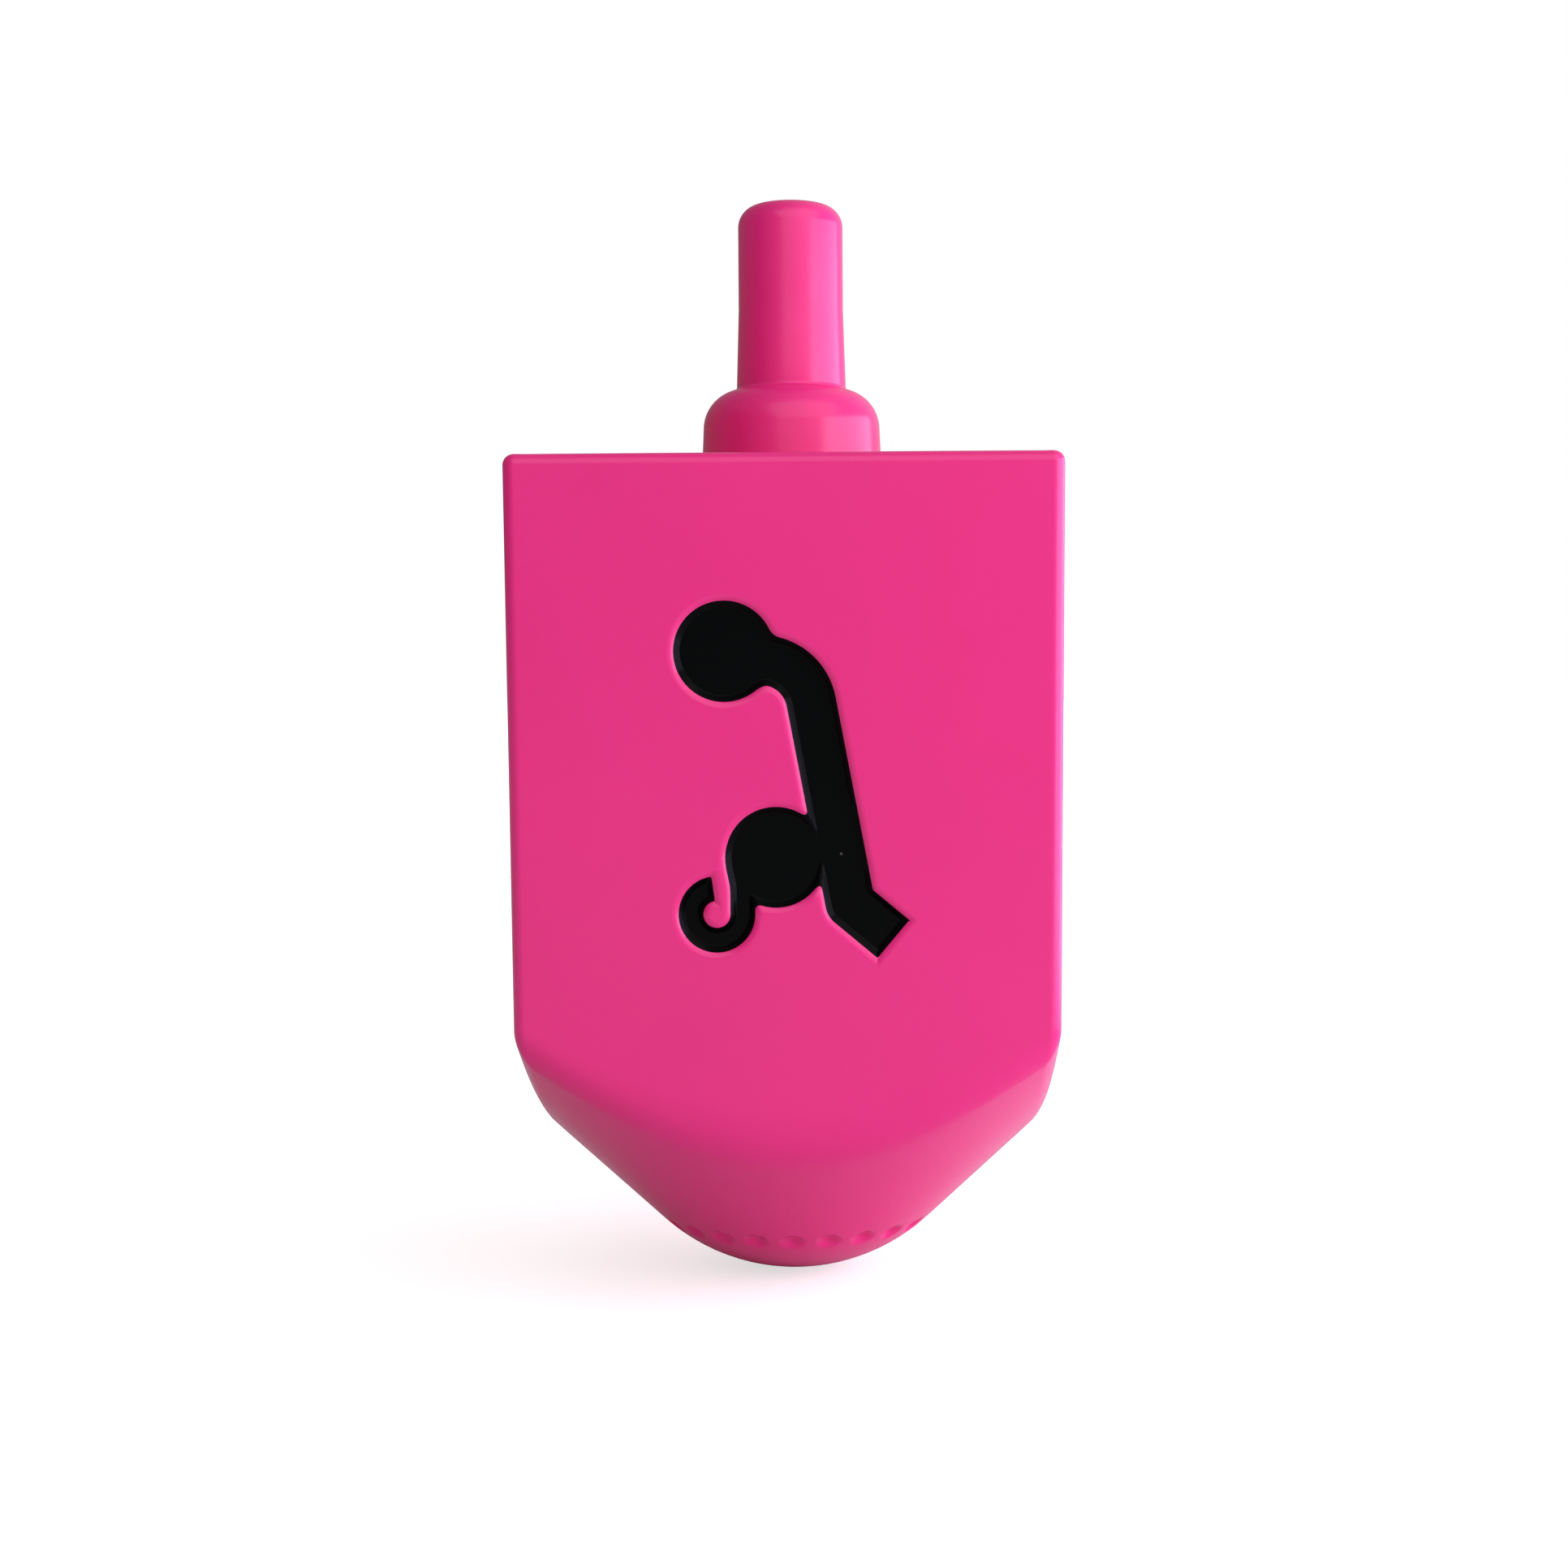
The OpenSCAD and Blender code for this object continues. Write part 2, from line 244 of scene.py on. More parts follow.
def finish(name, look, group):
    material = bpy.data.materials.new(name)
    material.use_nodes = True
    add, link = nodeSet(material.node_tree)[:2]
    surface = add("ShaderNodeGroup", node_tree=group)
    for socket in surface.inputs:
        socket.default_value = look[socket.name]
    bump = add("ShaderNodeBump", Strength=look["bump"], Distance=look["bumpDepth"])
    link(surface.outputs["Height"], bump.inputs["Height"])
    shader = add("ShaderNodeBsdfPrincipled", IOR=look["ior"], Specular_IOR_Level=look["specular"])
    link(surface.outputs["Color"], shader.inputs["Base Color"])
    link(surface.outputs["Roughness"], shader.inputs["Roughness"])
    link(bump.outputs["Normal"], shader.inputs["Normal"])
    link(shader.outputs["BSDF"], add("ShaderNodeOutputMaterial").inputs["Surface"])
    return material


pinkLook = {
    "Color": (0.87, 0.025, 0.23, 1), "Cloud": 0.05, "Gloss": 0.23, "Patchy": 0.05, "Grain": 0.35,
    "Specks": 0.0, "bump": 0.06, "bumpDepth": 0.0002, "ior": 1.5, "specular": 0.43,
}
blackLook = {
    "Color": (0.0012, 0.0016, 0.0017, 1), "Cloud": 0.3, "Gloss": 0.20, "Patchy": 0.10, "Grain": 0.4,
    "Specks": 0.06, "bump": 0.05, "bumpDepth": 0.0002, "ior": 1.45, "specular": 0.06,
}

surfaceGroup = mouldedSurface()
pinkPlastic = finish("pinkPlastic", pinkLook, surfaceGroup)
letterBlack = finish("letterBlack", blackLook, surfaceGroup)
print("finishes made")


# Body: a drafted square cup with a conical dome

bodyForm = {
    "width": 35.0, "height": 55.0, "draft": 0.5, "wall": 1.8,
    "edgeRound": 0.8, "rimRound": 0.7, "domeRound": 1.1, "cavityRound": 0.4,
    "tipRadius": 13.8, "domeAngle": 46.5,
    "dimples": 24, "dimpleWidth": 1.3, "dimpleDepth": 0.38, "dimpleEase": 0.3,
    "dimpleRing": 42.5, "dimplePhase": 0.0,
    "rimWall": 0.9, "seatDepth": 2.0, "seatCorner": 0.8, "seatEdge": 0.12,
}
bodyGrid = {  # where the mesh's rows lie: degrees from straight down on the dome, heights on the sides
    "columns": 432, "tipBand": (2.5, 37.0, 13), "dimpleBand": (37.4, 47.6, 27), "coneRows": 10,
    "creaseHalf": 3.4, "creaseRows": 18, "sideRows": 5,
    "letterBand": (21.0, 49.0, 9), "letterHalfTurn": 32.5, "upperLevels": (51.0, 53.0),
    "rimStart": 1.4, "rimRows": 13, "rimReach": 3.0, "seatRows": 4,
    "hollowFoot": 4.2, "hollowFootRise": 0.2, "hollowSideRows": 6,
    "hollowCreaseHalf": 4.0, "hollowCreaseRows": 10, "hollowTip": 4.0, "hollowRows": 14,
}


def halfAt(z):  # half the width at a height
    return bodyForm["width"] / 2 - (bodyForm["height"] - z) * math.tan(bodyForm["draft"] * deg)


def sideField(p, inset=0.0, r=bodyForm["edgeRound"]):
    reach = halfAt(p[..., 2]) - inset
    lean = math.cos(bodyForm["draft"] * deg)
    return roundedJoin((np.abs(p[..., 0]) - reach) * lean, (np.abs(p[..., 1]) - reach) * lean, r)


def domeField(p, inset=0.0):
    a = bodyForm["domeAngle"] * deg
    r, t = np.hypot(p[..., 0], p[..., 1]), p[..., 2] - bodyForm["tipRadius"]
    ball = np.hypot(r, t)
    cone = r * math.cos(a) - t * math.sin(a)
    return np.where(r * math.sin(a) + t * math.cos(a) < 0, ball, cone) - bodyForm["tipRadius"] + inset


def dimpleField(p):  # the nearest of the balls that press the dimples
    depth, ring = bodyForm["dimpleDepth"], bodyForm["dimpleRing"] * deg
    ball = ((bodyForm["dimpleWidth"] / 2) ** 2 + depth ** 2) / (2 * depth)
    pitch, first = 360 / bodyForm["dimples"], bodyForm["dimplePhase"] - 90
    turn = np.degrees(np.arctan2(p[..., 1], p[..., 0]))
    turn = (first + np.round((turn - first) / pitch) * pitch) * deg
    far = bodyForm["tipRadius"] + ball - depth
    middle = np.stack([far * math.sin(ring) * np.cos(turn), far * math.sin(ring) * np.sin(turn),
                       np.full_like(turn, bodyForm["tipRadius"] - far * math.cos(ring))], -1)
    return np.linalg.norm(p - middle, axis=-1) - ball


def bodyField(p):
    whole = roundedJoin(sideField(p), domeField(p), bodyForm["domeRound"])
    whole = roundedJoin(whole, p[..., 2] - bodyForm["height"], bodyForm["rimRound"])
    return roundedJoin(whole, -dimpleField(p), bodyForm["dimpleEase"])


def cavitySide(p):
    return sideField(p, bodyForm["wall"], bodyForm["cavityRound"])


def cavityField(p):
    return roundedJoin(cavitySide(p), domeField(p, bodyForm["wall"]), bodyForm["cavityRound"])


def creaseTurn(field, out, inset):  # where the dome meets the side, in degrees from straight down
    a, tip = bodyForm["domeAngle"] * deg, bodyForm["tipRadius"]
    r = tip - inset
    start = withHeight(out * r * math.cos(a), tip - r * math.sin(a))
    edge = reachSurface(field, start, withHeight(out * math.sin(a), math.cos(a)))
    return np.degrees(np.arctan2(np.hypot(edge[:, 0], edge[:, 1]), tip - edge[:, 2]))


def domeRow(field, out, fall, sense):  # sense is 1 on the outside and -1 in the hollow
    fall = np.broadcast_to(np.asarray(fall, float), (len(out),)) * deg
    start = withHeight(out * 0, bodyForm["tipRadius"])
    p = reachSurface(field, start, withHeight(out * np.sin(fall)[:, None], -np.cos(fall)))
    n = sense * slopeOf(field, p)
    return p, n, n


def sideRow(field, out, z, sense):
    p = reachSurface(field, withHeight(out * 0, z), withHeight(out, 0.0))
    n = sense * slopeOf(field, p)
    return p, n, n


def squareLoop(turns, half, corner):  # rounded square with its outward directions
    def field(q):
        return roundedJoin(np.abs(q[..., 0]) - half, np.abs(q[..., 1]) - half, corner)

    out = outwardOf(turns)
    base = reachSurface(field, out * 0, out)
    return base, slopeOf(field, base)


def domeRows(out):  # from the tip over the dimples, up the cone and round the crease
    g = bodyGrid
    bandEnd, half = g["dimpleBand"][1], g["creaseHalf"]
    crease = creaseTurn(sideField, out, 0.0)
    falls = [*np.linspace(*g["tipBand"]), *np.linspace(*g["dimpleBand"])]
    falls += [bandEnd + (crease - half - bandEnd) * k / g["coneRows"] for k in range(1, g["coneRows"] + 1)]
    falls += [crease - half + 2 * half * k / g["creaseRows"] for k in range(1, g["creaseRows"] + 1)]
    return [domeRow(bodyField, out, fall, 1) for fall in falls]


def outerRows(out):  # dome and sides, and the first and last row of the letters' openings
    rows = domeRows(out)
    low, high, count = bodyGrid["letterBand"]
    start, steps = rows[-1][0][:, 2], bodyGrid["sideRows"]
    rows += [sideRow(bodyField, out, start + (low - start) * k / steps, 1) for k in range(1, steps)]
    firstRow, lastRow = len(rows), len(rows) + count - 1
    levels = [*np.linspace(low, high, count), *bodyGrid["upperLevels"]]
    levels.append(bodyForm["height"] - bodyGrid["rimStart"] * bodyForm["rimRound"])
    rows += [sideRow(bodyField, out, z, 1) for z in levels]
    return rows, firstRow, lastRow


def rimRows(out):  # over the rounded rim
    r = bodyForm["rimRound"]
    pivot = sideRow(bodyField, out, bodyForm["height"] - r, 1)[0] - withHeight(out * r, 0.0)
    rows = []
    for a in np.linspace(0, 90, bodyGrid["rimRows"]) * deg:
        heading = withHeight(out * math.cos(a), math.sin(a))
        p = reachSurface(bodyField, pivot, heading, bodyGrid["rimReach"])
        n = slopeOf(bodyField, p)
        rows.append((p, n, n))
    return rows


def innerRows(turns, out):  # the cap's seat, the cup's inner walls and the hollow of the dome
    g = bodyGrid
    edge, seatZ = bodyForm["seatEdge"], bodyForm["height"] - bodyForm["seatDepth"]
    seat, seatOut = squareLoop(turns, bodyForm["width"] / 2 - bodyForm["rimWall"], bodyForm["seatCorner"])
    rows = arcRows(seat, seatOut, edge, bodyForm["height"] - edge, edge, 90, 180, g["seatRows"])
    rows.append(ringRow(seat, seatOut, 0.0, seatZ, (-1, 0), (0, 1)))
    wall, _, wallNormals = sideRow(cavityField, out, seatZ, -1)
    rows.append((wall, withHeight(out * 0, 1.0), wallNormals))
    crease = creaseTurn(cavitySide, out, bodyForm["wall"])
    foot = domeRow(cavityField, out, crease + g["hollowFoot"], -1)[0][:, 2] + g["hollowFootRise"]
    steps = g["hollowSideRows"]
    rows += [sideRow(cavityField, out, seatZ + (foot - seatZ) * k / steps, -1) for k in range(1, steps + 1)]
    half, tip, steps = g["hollowCreaseHalf"], g["hollowTip"], g["hollowCreaseRows"]
    falls = [crease + half - 2 * half * k / steps for k in range(steps + 1)]
    steps = g["hollowRows"]
    falls += [tip + (crease - half - tip) * (1 - k / steps) for k in range(1, steps + 1)]
    return rows + [domeRow(cavityField, out, fall, -1) for fall in falls]


# Letters: strokes with ball ends, moulded as shallow pockets with black floors and walls

letterStyle = {
    "drop": 20.4, "stroke": 3.1, "ball": 6.3, "smallBall": 4.4, "tail": 1.55, "bend": 3.2, "curl": 1.62,
    "lean": 10.6, "footSlope": 40.0, "footLength": 3.5, "ease": 0.45, "cutOverrun": 25.0, "cutNear": 1.2,
    "lip": 0.45, "wallSlope": 42.0, "depth": 0.52, "footRound": 0.12, "pocket": 0.8, "backGap": 0.004,
}
letterGrid = {  # tracing of the outlines: half the field's size, its step, and the points' spacing
    "reach": (11.5, 13.0), "step": 0.1, "spacing": 0.15, "fewest": 12, "nudge": 1e-9, "merge": 1e-5,
    "lipShares": (1, 0.8, 0.6, 0.4, 0.2, 0), "wallShares": (0.5, 1), "footShares": (0.25, 0.5, 0.75, 1),
}


def onCircle(c, r, a):
    return (c[0] + r * math.cos(a * deg), c[1] + r * math.sin(a * deg))


def barField(a, b, w, cut=False):  # straight stroke, its far end cut square if asked
    a, b = np.array(a, float), np.array(b, float)
    along = (b - a) / np.linalg.norm(b - a)
    run = (b + along * w if cut else b) - a

    def field(p):
        t = np.clip(((p - a) @ run) / (run @ run), 0, 1)
        d = np.linalg.norm(p - a - t[..., None] * run, axis=-1) - w / 2
        return np.maximum(d, (p - b) @ along) if cut else d
    return field


def bendField(c, r, w, first, last, cut=False):  # round stroke, its first end cut square if asked
    start = first - letterStyle["cutOverrun"] if cut else first
    ends = [np.array(onCircle(c, r, a)) for a in (start, last)]
    way = np.array([math.sin(first * deg), -math.cos(first * deg)])
    tip = np.array(onCircle(c, r, first))

    def field(p):
        q = p - np.array(c)
        turn = (np.degrees(np.arctan2(q[..., 1], q[..., 0])) - start) % 360
        d = np.abs(np.linalg.norm(q, axis=-1) - r)
        caps = np.minimum(*[np.linalg.norm(p - e, axis=-1) for e in ends])
        d = np.where(turn <= last - start, d, caps) - w / 2
        if cut:
            near = np.linalg.norm(p - tip, axis=-1) < letterStyle["cutNear"] * w
            d = np.where(near, np.maximum(d, (p - tip) @ way), d)
        return d
    return field


def ballField(c, d):
    return lambda p: np.linalg.norm(p - np.array(c), axis=-1) - d / 2


def legAndFoot(hip, knee):
    w = letterStyle["stroke"]
    foot = onCircle(knee, letterStyle["footLength"], -letterStyle["footSlope"])
    return [barField(hip, knee, w), barField(knee, foot, w, True)]


gimelForm = {"head": (-3.77, 8.05), "neck": (-1.5, 4.3), "neckEnd": 95.0, "leg": 12.8,
             "belly": (-0.62, -4.8), "curl": (-4.32, -8.35), "curlStart": 98.0}


def gimelStrokes():
    f, s, w = gimelForm, letterStyle, letterStyle["stroke"]
    hip = onCircle(f["neck"], s["bend"], s["lean"])
    knee = onCircle(hip, f["leg"], s["lean"] - 90)
    tailX = f["curl"][0] + s["curl"]
    return [[ballField(f["head"], s["ball"])],
            [bendField(f["neck"], s["bend"], w, s["lean"], f["neckEnd"])] + legAndFoot(hip, knee),
            [ballField(f["belly"], s["ball"])],
            [barField((tailX, f["belly"][1]), (tailX, f["curl"][1]), s["tail"]),
             bendField(f["curl"], s["curl"], s["tail"], f["curlStart"], 360, True)]]


nunForm = {"head": (-2.6, 8.05), "neck": (-0.4, 4.3), "neckEnd": 95.0, "heel": (-0.4, -6.5), "base": 4.8}


def nunStrokes():
    f, s, w = nunForm, letterStyle, letterStyle["stroke"]
    neck, heel = f["neck"], f["heel"]
    base = onCircle(heel, s["bend"], 270)
    return [[ballField(f["head"], s["ball"])],
            [bendField(neck, s["bend"], w, 0, f["neckEnd"]),
             barField(onCircle(neck, s["bend"], 0), onCircle(heel, s["bend"], 0), w),
             bendField(heel, s["bend"], w, 270, 360),
             barField(base, (base[0] - f["base"], base[1]), w, True)]]


heiForm = {"head": (-4.2, 8.05), "beamY": 8.4, "shoulder": (1.6, 5.2), "kneeY": -7.4, "shortLeg": (-4.4, 1.2)}


def heiStrokes():
    f, s, w = heiForm, letterStyle, letterStyle["stroke"]
    hip = onCircle(f["shoulder"], s["bend"], 0)
    return [[ballField(f["head"], s["ball"])],
            [barField((f["head"][0], f["beamY"]), (f["shoulder"][0], f["beamY"]), w),
             bendField(f["shoulder"], s["bend"], w, 0, 90)] + legAndFoot(hip, (hip[0], f["kneeY"])),
            [ballField(f["shortLeg"], s["smallBall"])],
            [barField(f["shortLeg"], (f["shortLeg"][0], f["kneeY"]), w)]]


shinForm = {"reach": 5.2, "headY": 9.0, "bowlY": -4.5, "middleFoot": (-0.9, -9.0)}


def shinStrokes():
    f, s, w = shinForm, letterStyle, letterStyle["stroke"]
    left, middle, right = [(x, f["headY"]) for x in (-f["reach"], 0, f["reach"])]
    heads = [[ballField(head, s["smallBall"])] for head in (left, middle, right)]
    bowl = [barField(left, (left[0], f["bowlY"]), w),
            bendField((0, f["bowlY"]), f["reach"], w, 180, 360),
            barField((right[0], f["bowlY"]), right, w)]
    return heads + [bowl, [barField(middle, f["middleFoot"], w)]]


def letterField(strokes):  # the parts of a stroke meet sharply, the strokes run together
    def field(p):
        whole = None
        for stroke in strokes:
            d = np.min([part(p) for part in stroke], axis=0)
            whole = d if whole is None else easedUnion(whole, d, letterStyle["ease"])
        return whole
    return field


def reliefBreaks():  # slope of the wall, rounding and drop of the lip, run of the wall and of its foot
    s = letterStyle["wallSlope"] * deg
    lipRound, footRound = letterStyle["lip"] / math.sin(s), letterStyle["footRound"]
    lipDrop, footDrop = lipRound * (1 - math.cos(s)), footRound * (1 - math.cos(s))
    wallRun = (letterStyle["depth"] - lipDrop - footDrop) / math.tan(s)
    return s, lipRound, lipDrop, wallRun, footRound * math.sin(s)


def reliefAt(d):  # height and steepness of the pocket at a distance from the letter's edge
    s, lipRound, lipDrop, wallRun, footRun = reliefBreaks()
    lip, foot = letterStyle["lip"], letterStyle["footRound"]
    inward = lip - d
    lipTurn = np.arcsin(np.clip(inward / lipRound, 0, math.sin(s)))
    footTurn = np.arcsin(np.clip((lip + wallRun + footRun - inward) / foot, 0, math.sin(s)))
    onLip, onWall = inward <= lip, inward <= lip + wallRun
    lipHeight = -lipRound * (1 - np.cos(lipTurn))
    wallHeight = -lipDrop - (inward - lip) * math.tan(s)
    footHeight = -letterStyle["depth"] + foot * (1 - np.cos(footTurn))
    height = np.where(onLip, lipHeight, np.where(onWall, wallHeight, footHeight))
    steep = np.where(onLip, np.tan(lipTurn), np.where(onWall, math.tan(s), np.tan(footTurn)))
    return height, steep


def gridCrossings(f):  # the grid's edges that an outline crosses, each with the next ones along it
    inside = f < 0
    mixed = inside[:-1, :-1].astype(int) + inside[1:, :-1] + inside[:-1, 1:] + inside[1:, 1:]
    links = {}
    for i, j in np.argwhere((mixed > 0) & (mixed < 4)):
        edges = [("x", i, j), ("y", i + 1, j), ("x", i, j + 1), ("y", i, j)]
        corners = [(i, j), (i + 1, j), (i + 1, j + 1), (i, j + 1)]
        crossed = [edges[k] for k in range(4) if inside[corners[k]] != inside[corners[(k + 1) % 4]]]
        if len(crossed) == 4 and inside[i, j] != (f[i:i + 2, j:j + 2].mean() < 0):
            crossed = [crossed[0], crossed[3], crossed[1], crossed[2]]
        for a, b in zip(crossed[::2], crossed[1::2]):
            links.setdefault(a, []).append(b)
            links.setdefault(b, []).append(a)
    return links


def chained(links):  # the crossings in order, a list for each closed outline
    loops = []
    while links:
        start = next(iter(links))
        loop, here = [start], links.pop(start)[0]
        while here != start:
            loop.append(here)
            ways = links.pop(here)
            here = ways[0] if ways[0] != loop[-2] else ways[1]
        loops.append(loop)
    return loops


def outlines(field, level):  # closed outlines of a field at a level, in evenly spaced points
    axes = [np.arange(-reach, reach, letterGrid["step"]) for reach in letterGrid["reach"]]
    grid = np.stack(np.meshgrid(*axes, indexing="ij"), -1)
    f = field(grid) - level
    f[f == 0] = letterGrid["nudge"]
    found = []
    for loop in chained(gridCrossings(f)):
        points = []
        for kind, i, j in loop:
            a, b = (i, j), (i + 1, j) if kind == "x" else (i, j + 1)
            points.append(grid[a] + (grid[b] - grid[a]) * f[a] / (f[a] - f[b]))
        points = np.array(points)
        for _ in range(2):  # draw the points onto the level itself
            points = points - (field(points) - level)[:, None] * slopeOf(field, points)
        closed = np.concatenate([points, points[:1]])
        along = np.concatenate([[0], np.cumsum(np.linalg.norm(np.diff(closed, axis=0), axis=1))])
        count = max(letterGrid["fewest"], round(along[-1] / letterGrid["spacing"]))
        wanted = np.linspace(0, along[-1], count, endpoint=False)
        found.append(np.stack([np.interp(wanted, along, closed[:, k]) for k in (0, 1)], -1))
    return found


def sideFrame(turn):  # a side's middle point, and its right, up and outward directions
    d, drop = bodyForm["draft"] * deg, letterStyle["drop"]
    c, s = math.cos(turn * deg), math.sin(turn * deg)
    spin = np.array([[c, -s, 0], [s, c, 0], [0, 0, 1]])
    front, height = drop * math.sin(d) - bodyForm["width"] / 2, bodyForm["height"] - drop * math.cos(d)
    ways = np.array([[1, 0, 0], [0, -math.sin(d), math.cos(d)], [0, -math.cos(d), -math.sin(d)]])
    return spin @ np.array([0, front, height]), ways @ spin.T


def patchTriangles(field, border):  # a side's opening in triangles, cut along the relief's level lines
    wallRun, footRun = reliefBreaks()[3:]
    levels = [letterStyle["lip"] * k for k in letterGrid["lipShares"]]
    levels += [-wallRun * k for k in letterGrid["wallShares"]]
    levels += [-wallRun - footRun * k for k in letterGrid["footShares"]]
    points, edges = [], []
    for loop in [border] + [loop for level in levels for loop in outlines(field, level)]:
        first = len(points)
        points += [Vector(p) for p in loop]
        edges += [(first + k, first + (k + 1) % len(loop)) for k in range(len(loop))]
    made = geometry.delaunay_2d_cdt(points, edges, [], 1, letterGrid["merge"])
    flat = np.array([tuple(p) for p in made[0]])
    triangles = np.array([tuple(t) for t in made[2]])
    owner = [next((k for k in ids if k < len(border)), -1) for ids in made[3]]  # points of the border itself
    return flat, triangles, owner


def openEdges(triangles):  # edges that only one triangle has
    edges = {edge: True for a, b, c in triangles for edge in ((a, b), (b, c), (c, a))}
    return [(a, b) for a, b in edges if (b, a) not in edges]


def letterPatch(strokes, turn, borderIds, borderPoints, nextId):  # fills a side's opening, makes the letter
    field = letterField(strokes)
    middle, ways = sideFrame(turn)
    flat, triangles, owner = patchTriangles(field, (borderPoints - middle) @ ways[:2].T)
    count, up = len(flat), ways[2]

    def spots(z):
        return middle + flat @ ways[:2] + np.outer(np.broadcast_to(z, (count,)), up)

    slope = slopeOf(field, flat)
    height, steep = reliefAt(field(flat))
    local = np.concatenate([-steep[:, None] * slope, np.ones((count, 1))], 1)
    tops = local / np.linalg.norm(local, axis=1, keepdims=True) @ ways
    sides = slope @ ways[:2]
    inLetter = field(flat[triangles].mean(1)) < 0
    plain, pocket = triangles[~inLetter], triangles[inLetter]
    rims = openEdges(pocket)
    # pink side: the face with its lip, then the pocket's wall and floor
    ids = np.array([borderIds[k] if k >= 0 else -1 for k in owner])
    fresh = np.where(ids < 0)[0]
    ids[fresh] = nextId + np.arange(len(fresh))
    floorIds = nextId + len(fresh) + np.arange(count)
    pinkPoints = np.concatenate([spots(height)[fresh], spots(-letterStyle["pocket"])])
    pinkFaces = ids[plain].tolist() + floorIds[pocket].tolist()
    pinkFaces += [[ids[a], ids[b], floorIds[b], floorIds[a]] for a, b in rims]
    pinkNormals = [tops[plain].reshape(-1, 3), np.tile(up, (pocket.size, 1))]
    pinkNormals += [-sides[[a, b, b, a]] for a, b in rims]
    # black side: floor and walls above, a flat back below
    blackPoints = np.concatenate([spots(height), spots(letterStyle["backGap"] - letterStyle["pocket"])])
    blackFaces = pocket.tolist() + (pocket[:, ::-1] + count).tolist()
    blackFaces += [[b, a, a + count, b + count] for a, b in rims]
    blackNormals = [tops[pocket].reshape(-1, 3), np.tile(-up, (pocket.size, 1))]
    blackNormals += [sides[[b, a, a, b]] for a, b in rims]
    letter = (*compacted(blackPoints, blackFaces), np.concatenate(blackNormals))
    return (pinkPoints, pinkFaces, np.concatenate(pinkNormals)), letter


def sideOpenings(turns, rowCount, firstRow, lastRow):  # the quads left out, and each opening's border
    count = len(turns)
    holes = np.zeros((rowCount - 1, count), bool)
    borders = []
    for side in range(4):
        away = (turns + 90 - 90 * side + 180) % 360 - 180
        order = np.argsort(away)
        span = order[np.abs(away[order]) <= bodyGrid["letterHalfTurn"]]
        holes[firstRow:lastRow, span[:-1]] = True
        border = [firstRow * count + j for j in span[:-1]]
        border += [i * count + span[-1] for i in range(firstRow, lastRow)]
        border += [lastRow * count + j for j in span[:0:-1]]
        border += [i * count + span[0] for i in range(lastRow, firstRow, -1)]
        borders.append(border)
    return holes, borders


def buildBody():
    turns = columnTurns(bodyGrid["columns"], bodyForm["dimplePhase"])
    out = outwardOf(turns)
    rows, firstRow, lastRow = outerRows(out)
    rows += rimRows(out) + innerRows(turns, out)
    holes, borders = sideOpenings(turns, len(rows), firstRow, lastRow)
    tip = ((0, 0, 0), (0, 0, -1))
    inner = ((0, 0, bodyForm["wall"]), (0, 0, 1))
    points, faces, normals = skin(rows, tip, inner, holes=holes)
    letters = {}
    strokesOf = {"gimel": gimelStrokes(), "nun": nunStrokes(), "shin": shinStrokes(), "hei": heiStrokes()}
    for side, (name, strokes) in enumerate(strokesOf.items()):
        border = borders[side]
        pink, letters[name] = letterPatch(strokes, 90 * side, border, points[border], len(points))
        points = np.concatenate([points, pink[0]])
        faces += pink[1]
        normals = np.concatenate([normals, pink[2]])
        print("letter", name, "set in its side")
    return (*compacted(points, faces), normals), letters


bodyShape, letterShapes = buildBody()
makePiece("dreidelBody", bodyShape, pinkPlastic, "cup", "pink_plastic", "body_shell")
for letterName, letterShape in letterShapes.items():
    pieceName = "letter" + letterName.capitalize()
    makePiece(pieceName, letterShape, letterBlack, "cup", "letter_black", "letter_" + letterName)


# Cap: plate, skirt, socket, braces and grip ribs

capForm = {
    "plate": 33.0, "thick": 2.0, "corner": 0.8, "edge": 0.18,
    "skirtInset": 1.95, "skirtThick": 1.2, "skirtHeight": 6.0, "skirtEdge": 0.3,
    "skirtCorner": 0.35, "skirtInnerCorner": 0.3,
    "socketRadius": 5.12, "socketHeight": 8.0, "bore": 3.52, "socketEdge": 0.25,
    "braceThick": 1.2, "braceHeight": 4.0, "braceChamfer": 0.25,
    "bracePlateSink": 0.3, "braceSocketSink": 0.6,
    "gripRadius": 0.5, "gripOut": 0.1, "gripPitch": 16.0, "gripLift": 0.3, "gripSink": 0.2,
    "gripStart": -80.0, "columns": 176, "gripColumns": 24, "edgeRows": 5, "plateRows": 6, "gripRows": 6,
}
quarterTurns = ((1, 0), (0, 1), (-1, 0), (0, -1))  # cosine and sine of each quarter turn


def flatBlock(first, last):  # closed block from two matching outlines
    count = len(first)
    points = np.array(first + last, float)
    faces = [list(range(count))[::-1], [count + k for k in range(count)]]
    faces += [[k, (k + 1) % count, count + (k + 1) % count, count + k] for k in range(count)]
    normals = []
    for face in faces:
        a, b, c = points[face[:3]]
        n = np.cross(b - a, c - b)
        normals += [n / np.linalg.norm(n)] * len(face)
    return points, faces, np.array(normals)


def capLevels():  # heights of the plate's underside, the skirt's foot and the socket's foot
    plateZ = bodyForm["height"] - capForm["thick"]
    return plateZ, plateZ - capForm["skirtHeight"], plateZ - capForm["socketHeight"]


